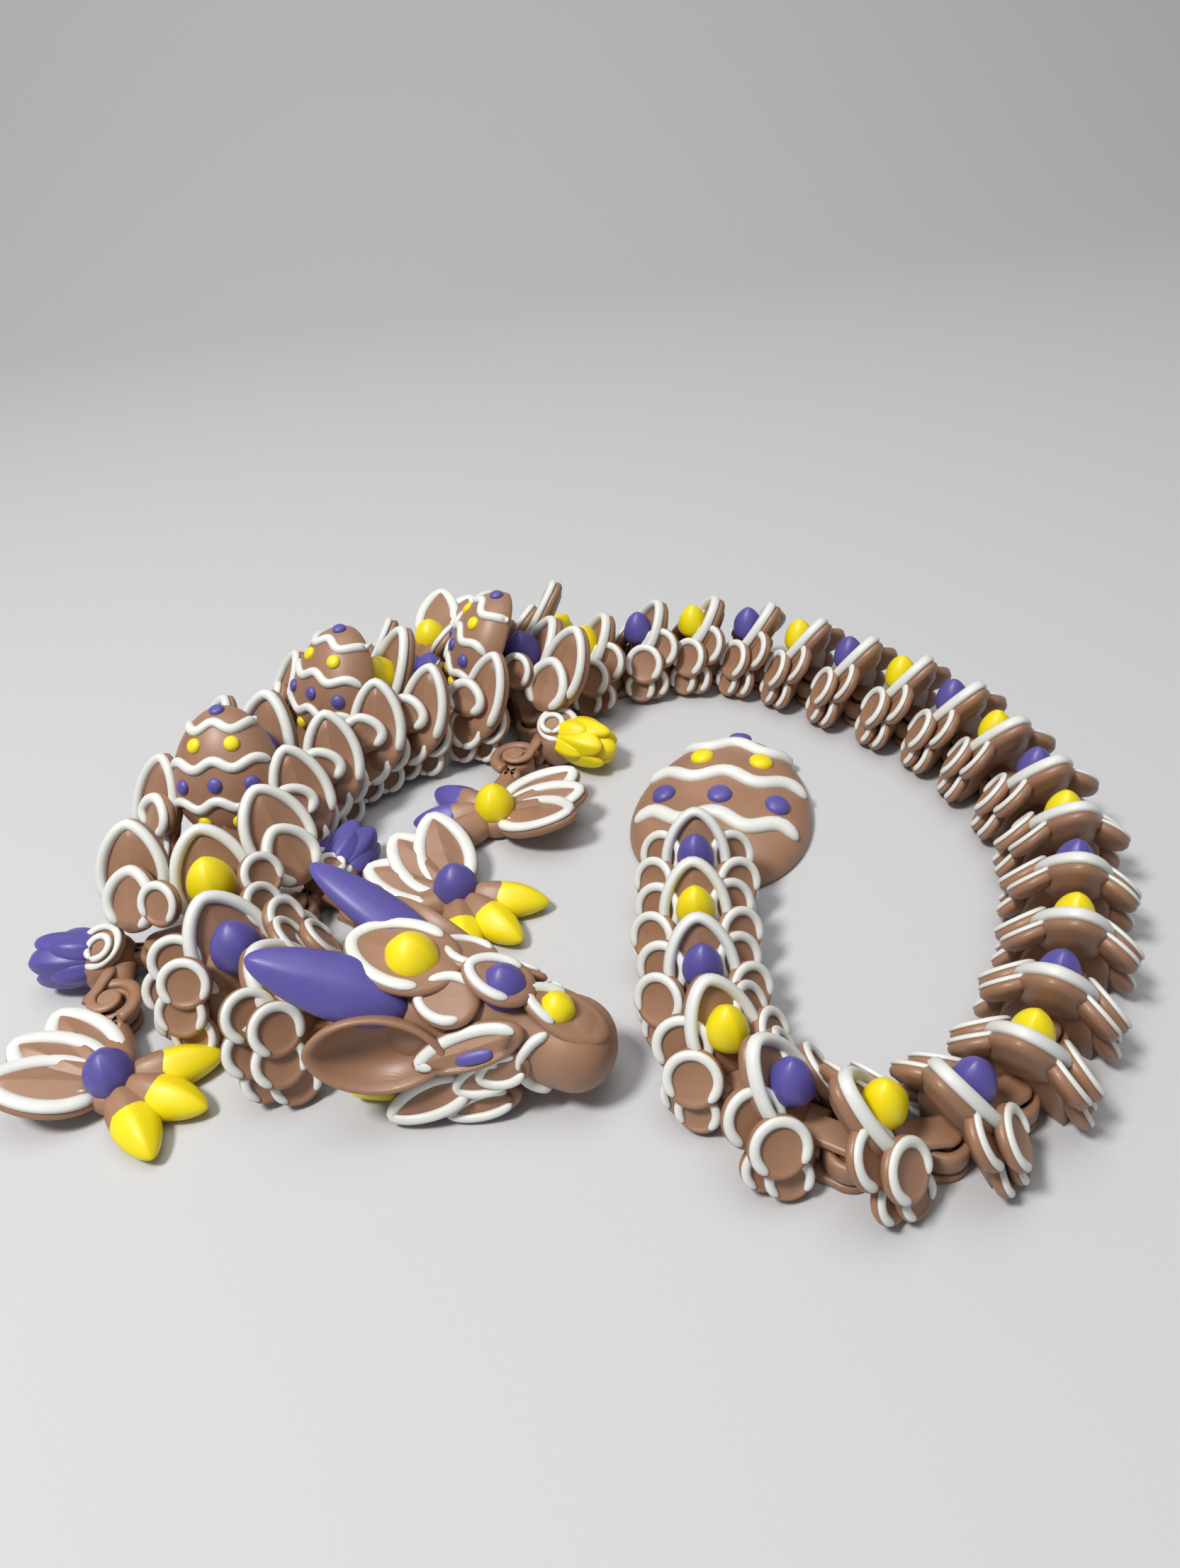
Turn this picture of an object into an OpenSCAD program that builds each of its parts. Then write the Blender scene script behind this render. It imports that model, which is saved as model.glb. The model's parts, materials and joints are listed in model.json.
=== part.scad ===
// Articulated dragon: a chain of separate printed links on upright pins, with four two-piece legs.
// Every link is drawn in its own frame: its front pin is at x = 0, +X runs to the tail, +Z is up.
// The assembly rests on z = 0, and the origin is under the middle of its overall box.

/* [Chain] */
// Distance between the two pins of a tail link
tail_pitch = 17; // [16.5:0.25:19]
// Distance between the two pins of a body link
body_pitch = 22; // [21.5:0.25:25]
// Distance between the two pins of a neck link
neck_pitch = 20.5; // [20:0.25:23]
// Distance between the two pins of the shoulder link
shoulder_pitch = 30; // [29:0.5:33]
// Distance between the two pins of the hip link
hip_pitch = 19; // [19:0.25:22]

/* [Joints] */
// Radius of every hinge pin
pin_r = 2.4; // [2:0.1:2.6]
// Gap around a pin, and above and below its ring
fit_gap = 0.45; // [0.35:0.05:0.5]
// Width of the wall of a ring
ring_wall = 2.2; // [2:0.1:2.4]
// Height of a ring
ring_h = 5; // [4:0.25:5.5]
// Thickness of the jaws that hold a pin
jaw_t = 2; // [1.6:0.1:2.2]

/* [Scales] */
// Thickness of a scale
scale_t = 1.9; // [1.5:0.1:2.1]
// Lean of the scales from the horizontal, in degrees
lean = 58; // [52:1:62]
// Radius of the round scales on the tail
round_r = 6; // [5:0.25:6.25]
// Width of the middle scale of a tail link
ogive_w = 14.4; // [12:0.2:15]
// Radius of a tail gem
gem_r = 4.2; // [3.5:0.1:4.4]
// Radius of a body gem
body_gem_r = 5.6; // [4.5:0.1:5.8]

/* [Eggs] */
// Width of an egg on the back
egg_w = 24.5; // [20:0.5:25]
// Length of an egg on the back
egg_l = 33; // [28:0.5:34]
// Width of the egg at the tail
tail_egg_w = 46; // [38:1:48]
// Length of the egg at the tail
tail_egg_l = 61; // [52:1:62]

/* [Legs] */
// Sideways distance of the shoulder and hip pins from the chain
hip_y = 16; // [15.5:0.25:17]
// Distance from the wrist pin to the gem of the foot
fore_l = 21.5; // [20:0.5:23]
// Length of a toe from the gem to its tip
toe_l = 23; // [20:0.5:24]

/* [Hidden] */
$fn = 48;

BROWN = "#8a5f48";
PURPLE = "#4a3fa0";
YELLOW = "#f2dc00";

// Cone bands in a spindle
SPINDLE_STEPS = 8;

// ---- joint ----
ring_z = jaw_t + fit_gap;
ring_in = pin_r + fit_gap;
ring_out = ring_in + ring_wall;
jaw_z = ring_z + ring_h + fit_gap;
jaw_top = jaw_z + jaw_t;
top_jaw_r = pin_r + 0.8;
swing_r = ring_out + fit_gap;

// ---- rest pose, in degrees ----
// Heading of the head, then the turn of each link from the one before it
head_yaw = 160;
front_turns = [5, -35, -25, -20, -20, -15, -25, -15, 0, 5];
tail_turns = [0, -20, -20, -20, -5, 0, -10, -15, -5, -15, -15, -5, -10, -5, -25, -25, -35, -30, -25, -5, -5, -10];
turns = concat([0], front_turns, tail_turns);

// Place of the pin between the head and the neck
start = [-45.5, -65.2, 0];

// Link numbers in the chain
HEAD = 0;
NECK = 1;
SHOULDER = 3;
HIP = 9;
TAIL = 10;
TIP = 32;

// Where the limb pins stand along their links, the wrist pin on the limb, and the top of a limb
ARM_X = 15;
THIGH_X = 9.5;
WRIST = [5.5, 17, 0];
LIMB_TOP = 16.5;

// Directions of the toes of a foot
TOE_ANGLES = [-36, 0, 36];

function pitch_of(i) =
    i == SHOULDER ? shoulder_pitch :
    i == HIP ? hip_pitch :
    i < SHOULDER ? neck_pitch :
    i < TAIL ? body_pitch : tail_pitch;
function heading(i) = i == 0 ? head_yaw : heading(i - 1) + turns[i];
function along(i) = pitch_of(i) * [cos(heading(i)), sin(heading(i)), 0];
function place(i) = i <= NECK ? start : place(i - 1) + along(i - 1);

module at_link(i) {
    translate(place(i))
        rotate(heading(i))
            children();
}

// ---- joint pieces ----

// Upright pin between two jaws, on a web that runs off along +X
module clevis(reach, web_w) {
    cylinder(r = ring_out, h = jaw_t);
    cylinder(r = pin_r, h = jaw_top);
    translate([0, 0, jaw_z])
        cylinder(r = top_jaw_r, h = jaw_t);
    translate([0, -web_w / 2, 0])
        cube([reach, web_w, jaw_t]);
    translate([0, -top_jaw_r, jaw_z])
        cube([reach, 2 * top_jaw_r, jaw_t]);
    translate([swing_r, -web_w / 2, 0])
        cube([reach - swing_r, web_w, jaw_top]);
}

// Ring around a pin at the origin, on an arm that runs off along +X
module ring(reach, arm_w = 5.6) {
    translate([0, 0, ring_z])
        difference() {
            union() {
                cylinder(r = ring_out, h = ring_h);
                translate([0, -arm_w / 2, 0])
                    cube([reach, arm_w, ring_h]);
            }
            translate([0, 0, -1])
                cylinder(r = ring_in, h = ring_h + 2);
        }
}

// Room that a neighbour's ring needs at a pin of this piece
module ring_room() {
    translate([0, 0, jaw_t])
        cylinder(r = swing_r, h = jaw_z - jaw_t);
}

// Room that a neighbour's jaws need at a ring of this piece
module jaw_room() {
    translate([0, 0, -1])
        cylinder(r = swing_r, h = ring_z + 1);
    translate([0, 0, jaw_z - fit_gap])
        cylinder(r = top_jaw_r + fit_gap, h = jaw_t + 2 * fit_gap);
}

// ---- scales ----

// Leans a flat shape back, so that its +X end points up and to the tail
module leant(p, a = lean, yaw = 0) {
    translate(p)
        rotate([0, 0, yaw])
            rotate([0, -a, 0])
                children();
}

module round_scale(p, r, a = lean, yaw = 0) {
    leant(p, a, yaw)
        translate([0, 0, -scale_t / 2])
            cylinder(r = r, h = scale_t);
}

// Pointed arch: two circles crossed, with both points blunted
module ogive(w, l) {
    r = (w * w + l * l) / (4 * w);
    intersection() {
        translate([0, r - w / 2])
            circle(r = r);
        translate([0, w / 2 - r])
            circle(r = r);
        circle(r = 0.45 * l);
    }
}

// Pointed scale placed by its tip
module ogive_scale(tip, w, l, a = lean, yaw = 0) {
    leant(tip, a, yaw)
        translate([-0.45 * l, 0, -scale_t / 2])
            linear_extrude(scale_t)
                ogive(w, l);
}

// Egg outline with its round end at -X
module egg_outline(w, l) {
    foot = w / 2;
    tip = l - foot;
    r = (tip * tip + foot * foot) / w;
    translate([foot - l / 2, 0]) {
        circle(r = foot);
        intersection() {
            translate([0, r - foot])
                circle(r = r);
            translate([0, foot - r])
                circle(r = r);
            circle(r = 0.94 * tip);
            translate([0, -w])
                square(2 * w);
        }
    }
}

// Egg with a flat back and a domed face
module egg(w, l, h, edge) {
    fall = h - edge;
    dome_r = (l * l / 4 + fall * fall) / (2 * fall);
    intersection() {
        linear_extrude(h + 1)
            egg_outline(w, l);
        translate([0, 0, h - dome_r])
            sphere(r = dome_r, $fn = 96);
    }
}

// Egg-shaped gem that stands upright
module gem(p, r) {
    translate(p) {
        sphere(r = r);
        translate([0, 0, r * 0.4])
            sphere(r = r * 0.78);
    }
}

// Spindle along +X from the origin, pointed at both ends
module spindle(l, r) {
    rotate([0, 90, 0])
        rotate_extrude()
            polygon([
                for (k = [0:SPINDLE_STEPS])
                    let (t = 180 * k / SPINDLE_STEPS)
                        [r * pow(sin(t), 1.3), l * (1 - cos(t)) / 2]
            ]);
}

module both_sides() {
    children();
    mirror([0, 1, 0])
        children();
}

// ---- links ----

// Arrow-shaped block between the pins that carries the scales
module core(x1, root, half_w, h) {
    linear_extrude(h)
        polygon([
            [swing_r, -root], [swing_r + 5, -half_w], [x1 + 2.5, -half_w], [x1, -root],
            [x1, root], [x1 + 2.5, half_w], [swing_r + 5, half_w], [swing_r, root]
        ]);
}

// Pin in front, ring behind, and the scales given as children
module link(pitch, root, half_w, h) {
    x1 = pitch - swing_r - 0.4;
    clevis(x1, 2 * root);
    translate([pitch, 0, 0])
        rotate(180)
            ring(pitch - swing_r);
    difference() {
        union() {
            core(x1, root, half_w, h);
            children();
        }
        ring_room();
        translate([pitch, 0, 0])
            jaw_room();
    }
}

module tail_scales() {
    difference() {
        ogive_scale([20.5, 0, 25.6], ogive_w, 30);
        cube([60, 60, 20], center = true);
    }
    both_sides() {
        round_scale([13.4, 7.6, 13.4], round_r, lean, -44);
        round_scale([10, 9.4, 12.2], round_r, lean, -44);
        round_scale([10.8, 9.3, 6], round_r - 0.8, 64, -50);
        round_scale([9, 9.2, 5.5], round_r - 0.8, 64, -50);
        round_scale([7.2, 8.8, 5.2], round_r - 0.8, 64, -50);
    }
}

module tail_link(i) {
    at_link(i)
        link(tail_pitch, 5, 9, 11)
            union() {
                tail_scales();
                gem([11.6, 0, 19.6], gem_r);
            }
}

// Scales along both flanks of a body link whose gem is at x
module flank_scales(x) {
    both_sides() {
        ogive_scale([x + 12, 15, 31.5], 13, 29, lean, -32);
        ogive_scale([x + 4, 15, 24], 13.3, 17, lean, -46);
        round_scale([x + 2.5, 18.4, 10.2], 6.2, 64, -50);
        round_scale([x - 0.6, 16, 6.6], 5.8, 64, -50);
        round_scale([x - 3.8, 13.8, 5.8], 5.4, 64, -50);
    }
}

// Tall pointed plate behind the gem of a body link
module back_plate(x) {
    difference() {
        ogive_scale([x + 12, 0, 36], 19, 38);
        translate([-50, -50, 0])
            cube([100, 100, 12]);
    }
}

// Low round scales along both sides of a neck link whose gem is at x
module neck_scales(x) {
    both_sides() {
        round_scale([x + 3, 8.5, 19], 6.6, lean, -36);
        round_scale([x + 0.6, 12.4, 14.5], 6.2, lean, -44);
        round_scale([x, 13.6, 7.8], 5.6, 64, -50);
        round_scale([x - 2.6, 11, 5.6], 5.2, 66, -56);
    }
}

module neck_link(i) {
    x = neck_pitch - 9;
    at_link(i)
        link(neck_pitch, 7, 12, 13)
            union() {
                back_plate(x);
                neck_scales(x);
                gem([x, 0, 23], body_gem_r);
            }
}

module gem_link(i) {
    x = body_pitch - 9;
    at_link(i)
        link(body_pitch, 7, 14, 14)
            union() {
                back_plate(x);
                flank_scales(x);
                gem([x, 0, 24], body_gem_r);
            }
}

module egg_link(i) {
    x = body_pitch - 9;
    at_link(i)
        link(body_pitch, 7, 14, 14)
            union() {
                leant([x + 8, 0, 27.5])
                    translate([0, 0, -2.8])
                        egg(egg_w, egg_l, 9, 3);
                flank_scales(x);
            }
}

// Jaws on both sides for the upper limbs
module hip_jaws(x) {
    both_sides()
        translate([x, hip_y, 0])
            rotate(-90)
                clevis(hip_y, 7);
}

// Room for the limb rings on both sides
module limb_room(x) {
    both_sides()
        translate([x, hip_y, 0])
            cylinder(r = swing_r + 0.4, h = jaw_top + fit_gap);
}

// Petals on a cross bar, high enough for a limb to swing under them
module raised_petals(x) {
    difference() {
        both_sides() {
            ogive_scale([x + 12, 15, 31.5], 13, 24, lean, -32);
            ogive_scale([x + 3, 15.5, 26], 13.3, 20, 50, -46);
        }
        translate([-50, -50, 0])
            cube([100, 100, LIMB_TOP]);
    }
    translate([x + 4, 0, LIMB_TOP + 4.5])
        rotate([90, 0, 0])
            cylinder(r = 4.5, h = 36, center = true);
}

// Body link with a pair of limbs; its gem is at x
module limb_link(i, x_limb, x) {
    at_link(i) {
        difference() {
            link(pitch_of(i), 7, 9, 14)
                union() {
                    back_plate(x);
                    raised_petals(x);
                    gem([x, 0, 24], body_gem_r);
                }
            limb_room(x_limb);
        }
        hip_jaws(x_limb);
    }
}

// ---- limbs ----
// A limb is drawn for the right side, with its ring at the origin and its bud of petals along +X.

module at_limb(i, x, side, turn) {
    at_link(i)
        translate([x, side * hip_y, 0])
            rotate(side * turn)
                mirror([0, side > 0 ? 0 : 1, 0])
                    children();
}

module upper_limb() {
    difference() {
        union() {
            translate([11, 3.5, 0])
                cylinder(r = 6.2, h = 12);
            round_scale([8, 5.5, 10.5], 5.8, 35, 200);
            round_scale([5.5, 6, 11.5], 4.2, 30, 200);
        }
        cylinder(r = swing_r, h = 40, center = true);
        translate(WRIST)
            cylinder(r = swing_r, h = 40, center = true);
        bud();
    }
    ring(8);
    translate(WRIST)
        rotate(-75)
            clevis(12, 8);
}

// Bud of pointed petals at the elbow or knee
module bud() {
    intersection() {
        translate([13, 3.5, 8])
            union() {
                spindle(17, 4);
                for (a = [0:90:270])
                    rotate([a, 0, 0])
                        translate([-1, 0, 3])
                            rotate([0, -8, 0])
                                spindle(14, 3.6);
            }
        translate([12, -20, 0])
            cube([40, 40, 30]);
    }
}

// Frame of the foot, with its ring at the origin and its gem along +X
module at_foot(turn) {
    translate(WRIST)
        rotate(turn)
            children();
}

module toe_split() {
    sphere(r = 0.52 * toe_l);
}

// One toe, flat underneath, with its knuckle at the gem
module toe(a) {
    intersection() {
        rotate(a)
            translate([3, 0, 3.4])
                spindle(toe_l - 3, 3.9);
        translate([-50, -50, 0])
            cube(100);
    }
}

module toe_roots() {
    intersection() {
        for (a = TOE_ANGLES)
            rotate(a)
                translate([3, 0, 3.4])
                    rotate([0, 90, 0])
                        cylinder(r1 = 2.6, r2 = 3.8, h = toe_l / 2);
        toe_split();
        translate([-50, -50, 0])
            cube(100);
    }
}

module foot(toe_turn) {
    difference() {
        union() {
            translate([fore_l, 0, 0]) {
                cylinder(r = 5.6, h = 5.5);
                rotate(toe_turn)
                    toe_roots();
                rotate(toe_turn + 180)
                    for (k = [-1:1])
                        rotate(19 * k)
                            ogive_scale([24, 0, 12 + 2.4 * k], 13, 27, 20 + 6 * k);
            }
            translate([swing_r, -2.8, 0])
                cube([fore_l - swing_r, 5.6, jaw_top - 2]);
        }
        cylinder(r = swing_r, h = 40, center = true);
        foot_gem();
    }
    ring(8);
}

module foot_gem() {
    translate([fore_l, 0, 8.5])
        sphere(r = 5);
}

module toe_tips(toe_turn) {
    translate([fore_l, 0, 0])
        rotate(toe_turn)
            for (a = TOE_ANGLES)
                difference() {
                    toe(a);
                    toe_split();
                }
}

// ---- head and tail egg ----

module horn_shape() {
    translate([-15, 6.4, 25])
        rotate([0, 0, 13])
            rotate([0, -28, 0])
                spindle(33, 5.4);
}

module eye_gems() {
    both_sides()
        translate([-29.5, 8.8, 18])
            sphere(r = 2.4);
}

module head_gem(x, z, r) {
    translate([x, 0, z])
        sphere(r = r);
}

module yellow_gems() {
    head_gem(-14.5, 28.5, 5);
    head_gem(-43.5, 21.4, 3.4);
}

module purple_gems() {
    head_gem(-32.5, 24.5, 4.4);
    eye_gems();
}

// Radii along the axis of the skull, from behind the horns to the nose
SKULL = [
    [0, -12.2], [6.6, -10.6], [11, -5.8], [12.4, 0], [11.6, 8], [9.8, 18],
    [9.6, 24], [10.3, 31.5], [9.2, 36.8], [5.8, 40.5], [0, 42]
];

module skull() {
    intersection() {
        union() {
            translate([-13, 0, 16])
                rotate([0, -98, 0])
                    rotate_extrude()
                        polygon(SKULL);
            translate([-16, 0, 8])
                sphere(r = 11);
        }
        translate([-80, -50, 0])
            cube([160, 100, 60]);
    }
}

module head_scales() {
    ogive_scale([5, 0, 33], 16, 27, 35);
    both_sides() {
        ogive_scale([2, 13, 29], 12, 25, 36, 14);
        ogive_scale([1, 17, 20], 12, 24, 22, 20);
        ogive_scale([-2, 17.5, 9], 12, 21, 12, 24);
        translate([-24, 10.5, 12])
            rotate([0, 0, 18])
                rotate([0, -22, 0])
                    spindle(28, 5.6);
        translate([-17, 9, 4.5])
            rotate([0, 0, 28])
                spindle(15, 3.2);
    }
}

module head_body() {
    at_link(HEAD) {
        difference() {
            union() {
                skull();
                head_scales();
            }
            translate([0, 0, -1])
                cylinder(r = swing_r, h = jaw_top + 2);
            both_sides()
                horn_shape();
            yellow_gems();
            purple_gems();
        }
        rotate(180)
            ring(10);
    }
}

module tail_egg_body() {
    at_link(TIP) {
        clevis(9, 10);
        difference() {
            translate([tail_egg_l / 2 + 2.5, 0, 0])
                egg(tail_egg_w, tail_egg_l, 11, 4);
            translate([0, 0, -1])
                rotate(130)
                    cylinder(r = swing_r, h = 40);
        }
    }
}

// ---- nodes ----

module head() {
    color(BROWN)
        head_body();
}

module horns() {
    color(PURPLE)
        at_link(HEAD)
            both_sides()
                horn_shape();
}

module head_gems_yellow() {
    color(YELLOW)
        at_link(HEAD)
            yellow_gems();
}

module head_gems_purple() {
    color(PURPLE)
        at_link(HEAD)
            purple_gems();
}

module neck_link_1() {
    color(BROWN)
        neck_link(1);
}

module neck_link_2() {
    color(BROWN)
        neck_link(2);
}

module shoulder_link() {
    color(BROWN)
        limb_link(SHOULDER, ARM_X, 17);
}

module egg_link_1() {
    color(BROWN)
        egg_link(4);
}

module body_link_1() {
    color(BROWN)
        gem_link(5);
}

module egg_link_2() {
    color(BROWN)
        egg_link(6);
}

module body_link_2() {
    color(BROWN)
        gem_link(7);
}

module egg_link_3() {
    color(BROWN)
        egg_link(8);
}

module hip_link() {
    color(BROWN)
        limb_link(HIP, THIGH_X, 13);
}

module tail_link_00() {
    color(BROWN)
        tail_link(TAIL + 0);
}

module tail_link_01() {
    color(BROWN)
        tail_link(TAIL + 1);
}

module tail_link_02() {
    color(BROWN)
        tail_link(TAIL + 2);
}

module tail_link_03() {
    color(BROWN)
        tail_link(TAIL + 3);
}

module tail_link_04() {
    color(BROWN)
        tail_link(TAIL + 4);
}

module tail_link_05() {
    color(BROWN)
        tail_link(TAIL + 5);
}

module tail_link_06() {
    color(BROWN)
        tail_link(TAIL + 6);
}

module tail_link_07() {
    color(BROWN)
        tail_link(TAIL + 7);
}

module tail_link_08() {
    color(BROWN)
        tail_link(TAIL + 8);
}

module tail_link_09() {
    color(BROWN)
        tail_link(TAIL + 9);
}

module tail_link_10() {
    color(BROWN)
        tail_link(TAIL + 10);
}

module tail_link_11() {
    color(BROWN)
        tail_link(TAIL + 11);
}

module tail_link_12() {
    color(BROWN)
        tail_link(TAIL + 12);
}

module tail_link_13() {
    color(BROWN)
        tail_link(TAIL + 13);
}

module tail_link_14() {
    color(BROWN)
        tail_link(TAIL + 14);
}

module tail_link_15() {
    color(BROWN)
        tail_link(TAIL + 15);
}

module tail_link_16() {
    color(BROWN)
        tail_link(TAIL + 16);
}

module tail_link_17() {
    color(BROWN)
        tail_link(TAIL + 17);
}

module tail_link_18() {
    color(BROWN)
        tail_link(TAIL + 18);
}

module tail_link_19() {
    color(BROWN)
        tail_link(TAIL + 19);
}

module tail_link_20() {
    color(BROWN)
        tail_link(TAIL + 20);
}

module tail_link_21() {
    color(BROWN)
        tail_link(TAIL + 21);
}

module tail_egg() {
    color(BROWN)
        tail_egg_body();
}

module arm_right() {
    color(BROWN)
        at_limb(SHOULDER, ARM_X, 1, 69)
            upper_limb();
}

module elbow_bud_right() {
    color(PURPLE)
        at_limb(SHOULDER, ARM_X, 1, 69)
            bud();
}

module fore_foot_right() {
    color(BROWN)
        at_limb(SHOULDER, ARM_X, 1, 69)
            at_foot(111)
                foot(54);
}

module wrist_gem_right() {
    color(PURPLE)
        at_limb(SHOULDER, ARM_X, 1, 69)
            at_foot(111)
                foot_gem();
}

module fore_toes_right() {
    color(YELLOW)
        at_limb(SHOULDER, ARM_X, 1, 69)
            at_foot(111)
                toe_tips(54);
}

module arm_left() {
    color(BROWN)
        at_limb(SHOULDER, ARM_X, -1, 39)
            upper_limb();
}

module elbow_bud_left() {
    color(PURPLE)
        at_limb(SHOULDER, ARM_X, -1, 39)
            bud();
}

module fore_foot_left() {
    color(BROWN)
        at_limb(SHOULDER, ARM_X, -1, 39)
            at_foot(60)
                foot(54);
}

module wrist_gem_left() {
    color(PURPLE)
        at_limb(SHOULDER, ARM_X, -1, 39)
            at_foot(60)
                foot_gem();
}

module fore_toes_left() {
    color(YELLOW)
        at_limb(SHOULDER, ARM_X, -1, 39)
            at_foot(60)
                toe_tips(54);
}

module thigh_right() {
    color(BROWN)
        at_limb(HIP, THIGH_X, 1, 32)
            upper_limb();
}

module knee_bud_right() {
    color(YELLOW)
        at_limb(HIP, THIGH_X, 1, 32)
            bud();
}

module hind_foot_right() {
    color(BROWN)
        at_limb(HIP, THIGH_X, 1, 32)
            at_foot(113)
                foot(79);
}

module ankle_gem_right() {
    color(YELLOW)
        at_limb(HIP, THIGH_X, 1, 32)
            at_foot(113)
                foot_gem();
}

module hind_toes_right() {
    color(PURPLE)
        at_limb(HIP, THIGH_X, 1, 32)
            at_foot(113)
                toe_tips(79);
}

module thigh_left() {
    color(BROWN)
        at_limb(HIP, THIGH_X, -1, 45)
            upper_limb();
}

module knee_bud_left() {
    color(YELLOW)
        at_limb(HIP, THIGH_X, -1, 45)
            bud();
}

module hind_foot_left() {
    color(BROWN)
        at_limb(HIP, THIGH_X, -1, 45)
            at_foot(71)
                foot(79);
}

module ankle_gem_left() {
    color(YELLOW)
        at_limb(HIP, THIGH_X, -1, 45)
            at_foot(71)
                foot_gem();
}

module hind_toes_left() {
    color(PURPLE)
        at_limb(HIP, THIGH_X, -1, 45)
            at_foot(71)
                toe_tips(79);
}

head();
horns();
head_gems_yellow();
head_gems_purple();
neck_link_1();
neck_link_2();
shoulder_link();
egg_link_1();
body_link_1();
egg_link_2();
body_link_2();
egg_link_3();
hip_link();
tail_link_00();
tail_link_01();
tail_link_02();
tail_link_03();
tail_link_04();
tail_link_05();
tail_link_06();
tail_link_07();
tail_link_08();
tail_link_09();
tail_link_10();
tail_link_11();
tail_link_12();
tail_link_13();
tail_link_14();
tail_link_15();
tail_link_16();
tail_link_17();
tail_link_18();
tail_link_19();
tail_link_20();
tail_link_21();
tail_egg();
arm_right();
elbow_bud_right();
fore_foot_right();
wrist_gem_right();
fore_toes_right();
arm_left();
elbow_bud_left();
fore_foot_left();
wrist_gem_left();
fore_toes_left();
thigh_right();
knee_bud_right();
hind_foot_right();
ankle_gem_right();
hind_toes_right();
thigh_left();
knee_bud_left();
hind_foot_left();
ankle_gem_left();
hind_toes_left();
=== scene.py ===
import json
import math

import bpy
import numpy as np
from mathutils import Matrix, Vector

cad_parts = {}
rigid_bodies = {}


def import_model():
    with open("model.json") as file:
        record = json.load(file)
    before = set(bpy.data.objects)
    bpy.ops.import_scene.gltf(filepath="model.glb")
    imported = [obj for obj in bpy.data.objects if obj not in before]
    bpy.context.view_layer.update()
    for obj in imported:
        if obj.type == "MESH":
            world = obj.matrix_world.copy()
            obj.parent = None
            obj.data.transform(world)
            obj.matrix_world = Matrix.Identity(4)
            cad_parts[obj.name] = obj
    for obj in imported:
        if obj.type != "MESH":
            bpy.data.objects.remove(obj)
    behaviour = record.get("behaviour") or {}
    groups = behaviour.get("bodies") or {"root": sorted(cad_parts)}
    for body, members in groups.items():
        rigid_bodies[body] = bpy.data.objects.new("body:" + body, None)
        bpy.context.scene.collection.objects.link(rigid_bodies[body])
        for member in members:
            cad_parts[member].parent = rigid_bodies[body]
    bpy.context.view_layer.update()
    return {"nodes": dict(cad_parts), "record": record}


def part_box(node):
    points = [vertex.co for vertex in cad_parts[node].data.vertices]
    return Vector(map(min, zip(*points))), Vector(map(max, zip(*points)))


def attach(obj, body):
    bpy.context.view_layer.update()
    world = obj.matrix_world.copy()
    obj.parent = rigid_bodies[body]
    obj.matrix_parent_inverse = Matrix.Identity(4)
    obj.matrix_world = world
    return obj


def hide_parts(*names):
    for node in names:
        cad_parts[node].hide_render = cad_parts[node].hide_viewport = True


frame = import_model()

SCENE = bpy.context.scene
MM = 0.001

# ---------------------------------------------------------------- the frame

JOINTS = frame["record"]["behaviour"]["joints"]
EGG_LINKS = ["egg_link_1", "egg_link_2", "egg_link_3"]
BACK = ["shoulder_link", "egg_link_1", "body_link_1", "egg_link_2", "body_link_2", "egg_link_3", "hip_link"]
TAIL = ["tail_link_%02d" % k for k in range(22)]
CHAIN = ["head", "neck_link_1", "neck_link_2"] + BACK + TAIL + ["tail_egg"]
# Links with a yellow gem; the other gems of the chain are purple
YELLOW_LINKS = ["neck_link_1", "shoulder_link", "body_link_2"] + TAIL[::2]


def pin_between(a, b):
    """Place of the hinge pin that joins two bodies."""
    for joint in JOINTS:
        if {joint["parent"], joint["child"]} == {a, b}:
            return Vector(joint["pos_m"])
    raise ValueError("no pin joins %s and %s" % (a, b))


def middle(node):
    """Mean of a CAD node's vertices: on its mirror plane if it has one."""
    verts = frame["nodes"][node].data.vertices
    return sum((v.co for v in verts), Vector()) / len(verts)


def box_middle(node):
    """Middle of a CAD node's bounding box."""
    low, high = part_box(node)
    return (Vector(low) + Vector(high)) / 2


def frame_at(origin, towards):
    """Upright frame at origin whose +X points towards another place."""
    d = towards - origin
    return Matrix.Translation((origin.x, origin.y, 0)) @ Matrix.Rotation(math.atan2(d.y, d.x), 4, "Z")


LINK = {}
for before, name, after in zip(CHAIN, CHAIN[1:], CHAIN[2:]):
    LINK[name] = frame_at(pin_between(before, name), pin_between(name, after))
head_pin = pin_between("head", "neck_link_1")
LINK["head"] = frame_at(head_pin, head_pin * 2 - middle("head_gems_yellow"))
egg_pin = pin_between("tail_link_21", "tail_egg")
LINK["tail_egg"] = frame_at(egg_pin, Vector(frame["record"]["mounts"][0]["pos_m"]))


def pitch(name):
    """Distance between the two pins of a link, in millimetres."""
    k = CHAIN.index(name)
    a, b = pin_between(CHAIN[k - 1], name), pin_between(name, CHAIN[k + 1])
    return (a - b).length / MM


# ---------------------------------------------------------------- mesh tools
# Shapes are (vertices, faces) in millimetres; places are 4x4 numpy matrices.


def move(x, y, z):
    m = np.eye(4)
    m[:3, 3] = (x, y, z)
    return m


def turn(axis, degrees):
    return np.array(Matrix.Rotation(math.radians(degrees), 4, axis))


def leant(place, lean, yaw=0.0):
    """Leans a flat shape back, so that its +X end points up and to the tail."""
    return move(*place) @ turn("Z", yaw) @ turn("Y", -lean)


MIRROR = np.diag([1.0, -1.0, 1.0, 1.0])


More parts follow.
